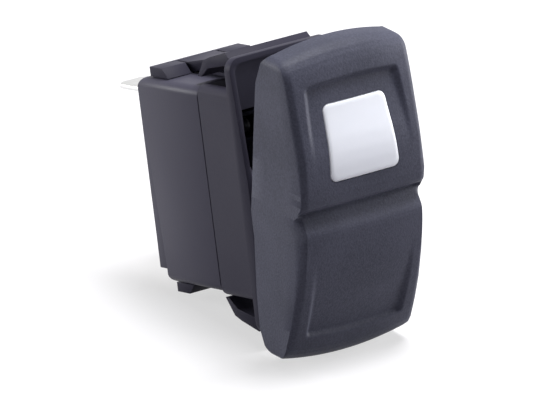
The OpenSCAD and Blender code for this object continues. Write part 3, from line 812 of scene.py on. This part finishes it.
@dataclass
class Lens:
    """The frosted lens let into the upper half of the cap."""

    cap: RockerCap
    # half width at its upper and its lower edge
    top_half: float = 6.4
    low_half: float = 7.05
    # its middle along the rocker, from the pivot
    middle: float = 14.7
    half_height: float = 6.3
    # radius of its corners, and the share of an outline's growth that goes into it
    corner: float = 1.25
    corner_growth: float = 0.5
    corner_steps: int = 8
    # longest step along its straight runs
    fill: float = 0.9
    gap: float = 0.1
    proud: float = 0.12
    depth: float = 2.2
    # round its rim, (share of the outline, lift over the cap's front), and then its face
    RIM: Table = ((1.0, -0.14), (0.996, -0.03), (0.985, 0.05))
    face_share: float = 0.965
    face_rings: int = 12
    # heights over the pivot between which the cap is opened for it
    opened: tuple[float, float] = (9.0, 26.0)

    def outline(self, grow: float) -> list[tuple[float, float]]:
        """Outline of the lens in x and z, grown by an amount, from its upper right corner round.

        Args:
            grow: How much larger than the lens, all round.

        Returns:
            Points in order, with evenly filled straight runs.
        """
        top, low = self.top_half + grow, self.low_half + grow
        z1, z0 = self.middle + self.half_height + grow, self.middle - self.half_height - grow
        r = self.corner + grow * self.corner_growth
        centres = (
            (top - r, z1 - r, 0), (r - top, z1 - r, 90), (r - low, z0 + r, 180), (low - r, z0 + r, 270),
        )
        corners: list[tuple[float, float]] = []
        for cx, cz, start in centres:
            for i in range(self.corner_steps + 1):
                a = math.radians(start + 90 * i / self.corner_steps)
                corners.append((cx + r * math.cos(a), cz + r * math.sin(a)))
        out: list[tuple[float, float]] = []
        for i, (x, z) in enumerate(corners):
            nx, nz = corners[(i + 1) % len(corners)]
            n = max(1, round(math.hypot(nx - x, nz - z) / self.fill))
            out += [(x + (nx - x) * k / n, z + (nz - z) * k / n) for k in range(n)]
        return out

    def build(self) -> bpy.types.Object:
        """Makes the lens as a closed slab whose face follows the cap's.

        Returns:
            The lens.
        """
        outline = self.outline(0.0)
        n = len(outline)
        place = self.cap.frame.place
        points: list[Point] = []
        faces: list[tuple[int, ...]] = []
        rims = [(1.0, -self.depth), *self.RIM, (self.face_share, self.proud)]
        rims += [
            (self.face_share * (1 - k / self.face_rings), self.proud) for k in range(1, self.face_rings)
        ]
        for share, lift in rims:
            for x, z in outline:
                px, pz = x * share, self.middle + (z - self.middle) * share
                points.append(place(px, pz, self.cap.surface(px, pz) + lift))
        for ring in range(len(rims) - 1):
            for i in range(n):
                j = (i + 1) % n
                faces.append((ring * n + i, ring * n + j, (ring + 1) * n + j, (ring + 1) * n + i))
        tip = len(points)
        points.append(place(0, self.middle, self.cap.surface(0, self.middle) + self.proud))
        last = (len(rims) - 1) * n
        faces += [(last + i, last + (i + 1) % n, tip) for i in range(n)]
        base = len(points)
        points.append(place(0, self.middle, self.cap.surface(0, self.middle) - self.depth))
        faces += [((i + 1) % n, i, base) for i in range(n)]
        return add_mesh("frosted_lens", points, faces)

    def cutter(self) -> bpy.types.Object:
        """Makes the prism that opens the cap for the lens.

        Returns:
            The prism.
        """
        outline = self.outline(self.gap)
        n = len(outline)
        place = self.cap.frame.place
        points = [place(x, z, h) for h in self.opened for x, z in outline]
        faces: list[tuple[int, ...]] = [tuple(range(n)), tuple(range(2 * n - 1, n - 1, -1))]
        faces += [(i, (i + 1) % n, n + (i + 1) % n, n + i) for i in range(n)]
        return add_mesh("lens_cutter", points, faces)


def cut(piece: bpy.types.Object, tool: bpy.types.Object) -> None:
    """Takes a tool's volume out of a piece, and removes the tool.

    Args:
        piece: The piece that is cut.
        tool: The closed mesh that cuts it.
    """
    modifier = piece.modifiers.new("cut", "BOOLEAN")
    modifier.operation = "DIFFERENCE"
    modifier.solver = "EXACT"
    modifier.object = tool
    bake_modifiers(piece)
    bpy.data.objects.remove(tool)


@dataclass
class Rocker:
    """All that tilts: cap, lens, yoke and what lies behind the lens."""

    nodes: dict[str, bpy.types.Object]
    yoke_edge: float = 0.2

    def build(self) -> None:
        """Makes and dresses the rocker's pieces."""
        cap_maker = RockerCap(RockerFrame())
        lens_maker = Lens(cap_maker)
        cap = cap_maker.build()
        cut(cap, lens_maker.cutter())
        shade_by_angle(cap, cap_maker.crease)
        dress(cap, Looks.CAP, "rocker", "rocker_shell")
        lens = lens_maker.build()
        shade_by_angle(lens)
        dress(lens, Looks.LENS, "rocker", "indicator_lens")
        yoke = rounded_copy(self.nodes["rocker_yoke"], "yoke", self.yoke_edge)
        dress(yoke, Looks.YOKE, "rocker", "rocker_yoke")
        for name, look in (("lens_gasket", Looks.RUBBER_AND_SHADE), ("light_guide", Looks.GUIDE)):
            finish_node(self.nodes[name], look)


def finish_node(node: bpy.types.Object, look: Looks) -> None:
    """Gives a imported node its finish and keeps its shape.

    Args:
        node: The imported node.
        look: Its finish.
    """
    node.data.materials.clear()
    node.data.materials.append(look.make())
    LOG.info("%s keeps its packed shape", node.name)


# ---- ribs in the wings' pockets --------------------------------------------------------


class Tree:
    """A Geometry Nodes tree built from calls, with named inputs."""

    def __init__(self, name: str) -> None:
        """Starts an empty tree with a geometry output.

        Args:
            name: Name of the tree.
        """
        self.group = bpy.data.node_groups.new(name, "GeometryNodeTree")
        self.group.interface.new_socket("Geometry", in_out="OUTPUT", socket_type="NodeSocketGeometry")
        self.entry = self.group.nodes.new("NodeGroupInput")

    def value(self, name: str, kind: str) -> bpy.types.NodeSocket:
        """Adds a named input.

        Args:
            name: Its name.
            kind: Its socket type.

        Returns:
            The socket that hands it into the tree.
        """
        self.group.interface.new_socket(name, in_out="INPUT", socket_type=kind)
        return self.entry.outputs[name]

    def node(
        self, kind: str, settings: dict[str, Any], sockets: dict[str | int, Any]
    ) -> bpy.types.NodeSocket:
        """Adds a node and gives its first output."""
        return add_node(self.group, kind, settings, sockets).outputs[0]

    def finish(self, geometry: bpy.types.NodeSocket, material: bpy.types.NodeSocket) -> None:
        """Ends the tree with real meshes in one material.

        Args:
            geometry: What the tree makes.
            material: Its material.
        """
        real = self.node("GeometryNodeRealizeInstances", {}, {"Geometry": geometry})
        done = self.node("GeometryNodeSetMaterial", {}, {"Geometry": real, "Material": material})
        add_node(self.group, "NodeGroupOutput", {}, {0: done})

    def grow(self, name: str, values: dict[str, Any]) -> bpy.types.Object:
        """Runs the tree on an empty mesh and keeps what it gives as a plain mesh.

        Args:
            name: Name of the piece.
            values: The inputs, by name.

        Returns:
            The finished piece, at the origin.
        """
        piece = bpy.data.objects.new(name, bpy.data.meshes.new(name))
        bpy.context.scene.collection.objects.link(piece)
        modifier = piece.modifiers.new("grow", "NODES")
        modifier.node_group = self.group
        for item in self.group.interface.items_tree:
            if item.in_out == "INPUT":
                modifier[item.identifier] = values[item.name]
        bake_modifiers(piece)
        return piece


@dataclass
class PocketRibs:
    """Half-sunk ribs that stiffen the floors of the two pockets under the snap wings."""

    # distance of the pockets' floors from the switch's middle
    floor: float
    count: int = 3
    pitch: float = 1.7
    # how far back the first rib lies
    first: float = 2.2
    length: float = 17.0
    radius: float = 0.32
    # how deep the ribs are sunk, as a share of their radius
    sink: float = 0.35
    sides: int = 12

    def build(self) -> bpy.types.Object:
        """Makes the ribs of both pockets.

        Returns:
            All the ribs as one piece.
        """
        tree = Tree("pocket_ribs")
        count = tree.value("Count", "NodeSocketInt")
        pitch = tree.value("Pitch", "NodeSocketVector")
        start = tree.value("Start", "NodeSocketVector")
        half = tree.value("Half length", "NodeSocketVector")
        radius = tree.value("Radius", "NodeSocketFloat")
        across = tree.value("Across", "NodeSocketVector")
        material = tree.value("Material", "NodeSocketMaterial")
        back = tree.node("ShaderNodeVectorMath", {"operation": "MULTIPLY"}, {0: half, 1: (-1, -1, -1)})
        spine = tree.node("GeometryNodeCurvePrimitiveLine", {}, {"Start": back, "End": half})
        ring = tree.node(
            "GeometryNodeCurvePrimitiveCircle", {}, {"Resolution": self.sides, "Radius": radius}
        )
        rib = tree.node(
            "GeometryNodeCurveToMesh", {}, {"Curve": spine, "Profile Curve": ring, "Fill Caps": True}
        )
        ends = tree.node("GeometryNodeMeshLine", {}, {"Count": 2, "Offset": across})
        row = tree.node(
            "GeometryNodeMeshLine", {}, {"Count": count, "Start Location": start, "Offset": pitch}
        )
        pair = tree.node("GeometryNodeInstanceOnPoints", {}, {"Points": ends, "Instance": rib})
        rows = tree.node("GeometryNodeInstanceOnPoints", {}, {"Points": row, "Instance": pair})
        tree.finish(rows, material)
        level = self.floor - self.sink * self.radius
        return tree.grow(
            "pocket_ribs",
            {
                "Count": self.count,
                "Pitch": (0.0, self.pitch * MM, 0.0),
                "Start": (0.0, self.first * MM, level * MM),
                "Half length": (self.length / 2 * MM, 0.0, 0.0),
                "Radius": self.radius * MM,
                "Across": (0.0, 0.0, -2 * level * MM),
                "Material": Looks.BRACKET.make(),
            },
        )


# ---- case, bracket and blades ----------------------------------------------------------


@dataclass
class Case:
    """All that stays still: bracket, base, seal and the blades."""

    nodes: dict[str, bpy.types.Object]
    # roundings of the mouldings' and the blades' edges
    edge: float = 0.16
    blade_edge: float = 0.1
    pocket_floor: float = 16.35

    def build(self) -> None:
        """Makes and dresses the pieces of the case."""
        ribs = PocketRibs(self.pocket_floor).build()
        shade_by_angle(ribs)
        dress(ribs, Looks.BRACKET, "case")
        for node, name, radius, look in (
            ("mounting_bracket", "bracket", self.edge, Looks.BRACKET),
            ("base_housing", "base", self.edge, Looks.CASE),
            ("common_terminal", "common_blade", self.blade_edge, Looks.BRASS),
            ("load_terminal", "load_blade", self.blade_edge, Looks.BRASS),
            ("lamp_terminal_upper", "upper_lamp_blade", self.blade_edge, Looks.TINNED),
            ("lamp_terminal_lower", "lower_lamp_blade", self.blade_edge, Looks.TINNED),
        ):
            dress(rounded_copy(self.nodes[node], name, radius), look, "case", node)
        # the base seal's near-black rubber is also painted shade, standing in for the deep shade of the
        # tray inside the bracket
        for node, look in (
            ("base_seal", Looks.RUBBER_AND_SHADE), ("load_contact", Looks.SILVER), ("lamp_board", Looks.BOARD),
            ("lamp_led", Looks.LAMP), ("lamp_resistor", Looks.RESISTOR),
        ):
            finish_node(self.nodes[node], look)


@dataclass
class Mechanism:
    """The sprung plunger and the rocking contact blade."""

    nodes: dict[str, bpy.types.Object]

    def build(self) -> None:
        """Gives the moving contact pieces their finishes."""
        for node, look in (
            ("plunger", Looks.PLUNGER), ("plunger_spring", Looks.SPRING),
            ("contact_blade", Looks.COPPER), ("blade_contact", Looks.SILVER),
        ):
            finish_node(self.nodes[node], look)


# ---- stage -----------------------------------------------------------------------------


@dataclass(frozen=True)
class Softbox:
    """A square soft lamp that faces the switch.

    Attributes:
        name: Name of the lamp.
        place: Its place in metres.
        size: Its side in metres.
        power: Its power in watts.
    """

    name: str
    place: Point
    size: float
    power: float

    def light(self) -> None:
        """Adds the lamp."""
        data = bpy.data.lights.new(self.name, "AREA")
        data.shape = "SQUARE"
        data.size = self.size
        data.energy = self.power
        made = bpy.data.objects.new(self.name, data)
        bpy.context.scene.collection.objects.link(made)
        made.location = self.place
        made.rotation_mode = "QUATERNION"
        made.rotation_quaternion = (-Vector(self.place)).to_track_quat("-Z", "Y")


@dataclass
class Studio:
    """Floor, lamps, world and camera."""

    right: Vector = Vector((0.8103, -0.5735, -0.1207))
    up: Vector = Vector((0.2228, 0.1108, 0.9686))
    distance: float = 1768.0
    # width of the view at the switch
    view_width: float = 94.10183
    sensor: float = 36.0
    # nearest and farthest that the camera sees, in metres
    clip: tuple[float, float] = (0.05, 20.0)
    # where the camera aims, to the right of the frame's origin and above it
    centre_right: float = -2.04
    centre_up: float = -2.82
    # how far the switch leans back on the floor, in degrees
    lean: float = 13.2
    ambient: float = 0.12
    AMBIENT_TINT: Point = (0.95, 0.95, 1.0)
    # half the floor's side, in metres
    floor_reach: float = 3.0
    # the floor's two tones where it is seen, and its tone where it only throws light back
    FLOOR_TONES: tuple[Point, Point] = ((0.80, 0.79, 0.82), (0.83, 0.82, 0.85))
    FLOOR_DULL: Point = (0.3, 0.29, 0.31)
    # share of the seen floor that is plain white, and the size of its specks
    floor_white: float = 0.6
    speck: float = 30.0

    SOFTBOXES: tuple[Softbox, ...] = (
        Softbox("top_box", (0.16, -0.16, 0.72), 0.35, 9.4),
        Softbox("left_box", (-0.5, 0.56, 0.2), 0.3, 5.8),
        Softbox("right_box", (0.72, -0.22, 0.1), 0.35, 6.0),
    )

    def camera(self) -> None:
        """Sets the camera at its viewing angle."""
        right, up = self.right.normalized(), self.up.normalized()
        back = right.cross(up).normalized()
        up = back.cross(right)
        aim = right * self.centre_right + up * self.centre_up
        place = (aim + back * self.distance) * MM
        data = bpy.data.cameras.new("camera")
        data.sensor_width = self.sensor
        data.lens = self.sensor * self.distance / self.view_width
        data.clip_start, data.clip_end = self.clip
        made = bpy.data.objects.new("camera", data)
        bpy.context.scene.collection.objects.link(made)
        turn = Matrix((right, up, back)).transposed().to_4x4()
        made.matrix_world = Matrix.Translation(place) @ turn
        bpy.context.scene.camera = made

    def floor(self) -> None:
        """Lays a pale floor under the switch, which leans back on its cap's lower end."""
        slope = math.tan(math.radians(self.lean))
        depsgraph = bpy.context.evaluated_depsgraph_get()
        lowest = math.inf
        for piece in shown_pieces():
            mesh = piece.evaluated_get(depsgraph).data
            lowest = min(lowest, min(v.co.z - v.co.y * slope for v in mesh.vertices))
        reach = self.floor_reach
        corners = ((-reach, -reach), (reach, -reach), (reach, reach), (-reach, reach))
        made = add_mesh("floor", [(x, y, y * slope + lowest) for x, y in corners], [(0, 1, 2, 3)])
        if made.data.polygons[0].normal.z < 0:
            made.data.flip_normals()
        made.data.materials.append(self.floor_material())
        made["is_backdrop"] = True

    def floor_material(self) -> bpy.types.Material:
        """Makes pale board, nearly white to the camera, that throws back little light.

        Returns:
            The material.
        """
        material = bpy.data.materials.new("pale_floor")
        material.use_nodes = True
        graph = Graph(material.node_tree)
        low, high = (rgba(tone) for tone in self.FLOOR_TONES)
        tone = graph.blend(graph.noise(self.speck), low, high)
        board = graph.node("ShaderNodeBsdfDiffuse", {}, {"Color": tone})
        white = graph.node("ShaderNodeEmission", {}, {"Color": WHITE, "Strength": 1.0})
        pale = graph.node("ShaderNodeMixShader", {}, {0: self.floor_white, 1: board, 2: white})
        dull = graph.node("ShaderNodeBsdfDiffuse", {}, {"Color": rgba(self.FLOOR_DULL)})
        shader = graph.node("ShaderNodeMixShader", {}, {0: graph.seen(), 1: dull, 2: pale})
        graph.finish("ShaderNodeOutputMaterial", shader)
        return material

    def world(self) -> None:
        """Sets soft light from all round, and white behind for what looks past the floor."""
        world = bpy.data.worlds.new("studio")
        world.use_nodes = True
        graph = Graph(world.node_tree)
        soft = graph.node(
            "ShaderNodeBackground",
            {},
            {"Color": rgba(self.AMBIENT_TINT), "Strength": self.ambient},
        )
        white = graph.node("ShaderNodeBackground", {}, {"Color": WHITE, "Strength": 1.0})
        mixed = graph.node("ShaderNodeMixShader", {}, {0: graph.seen(), 1: soft, 2: white})
        graph.finish("ShaderNodeOutputWorld", mixed)
        bpy.context.scene.world = world

    def build(self) -> None:
        """Sets the whole stage."""
        bpy.context.scene.view_settings.view_transform = "Standard"
        self.floor()
        self.world()
        self.camera()
        for softbox in self.SOFTBOXES:
            softbox.light()


def main() -> None:
    """Builds the switch and its stage."""
    logging.basicConfig(level=logging.INFO, format="%(message)s")
    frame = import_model()
    nodes = frame["nodes"]
    for part in (Rocker(nodes), Case(nodes), Mechanism(nodes)):
        part.build()
    Studio().build()


if __name__ == "__main__":
    main()
